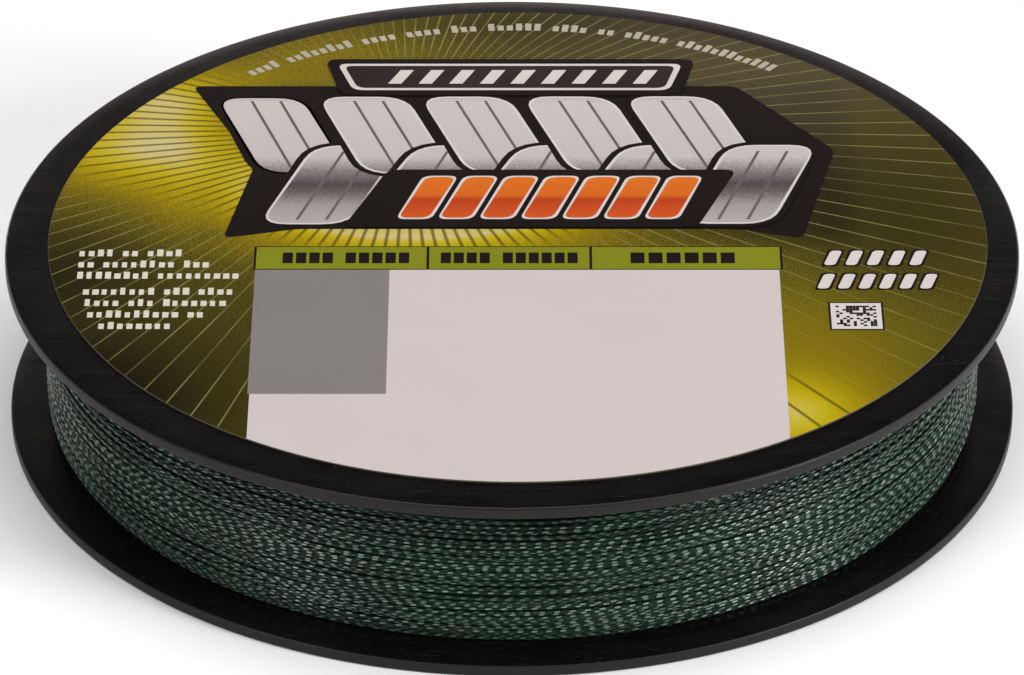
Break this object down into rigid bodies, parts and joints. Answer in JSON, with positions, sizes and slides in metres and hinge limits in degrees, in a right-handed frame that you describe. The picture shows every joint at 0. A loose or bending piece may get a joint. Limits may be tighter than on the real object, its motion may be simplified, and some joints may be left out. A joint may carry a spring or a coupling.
{
  "type": "fishing line spool",
  "caption": "Flat flanged filler spool of braided fishing line: moulded halves joined at a hollow hub with a central bore, wound line, printed label discs.",
  "frame": {"origin": "centre of the rear rim, the face that the spool lies on", "axes": "+Z along the spool's axis from the rear rim to the front label; +Y towards the top of the front label; +X to its right"},
  "size_m": [0.11, 0.11, 0.0207],
  "materials": {
    "spool_plastic": "satin black injection moulding with a fine grain and faint streaks",
    "braided_line": "moss green round braid, waxy, cross-wound",
    "tape": "thin matt adhesive tape",
    "label_print": "gloss-varnished printed paper",
    "rear_print": "satin printed paper"
  },
  "bodies": {
    "root": {"front_flange": "spool_plastic", "front_hub": "spool_plastic", "rear_flange": "spool_plastic", "rear_hub": "spool_plastic", "line_pack": "braided_line", "starter_tape": "tape", "end_tape": "tape", "front_label": "label_print", "rear_label": "rear_print"}
  },
  "joints": []
}
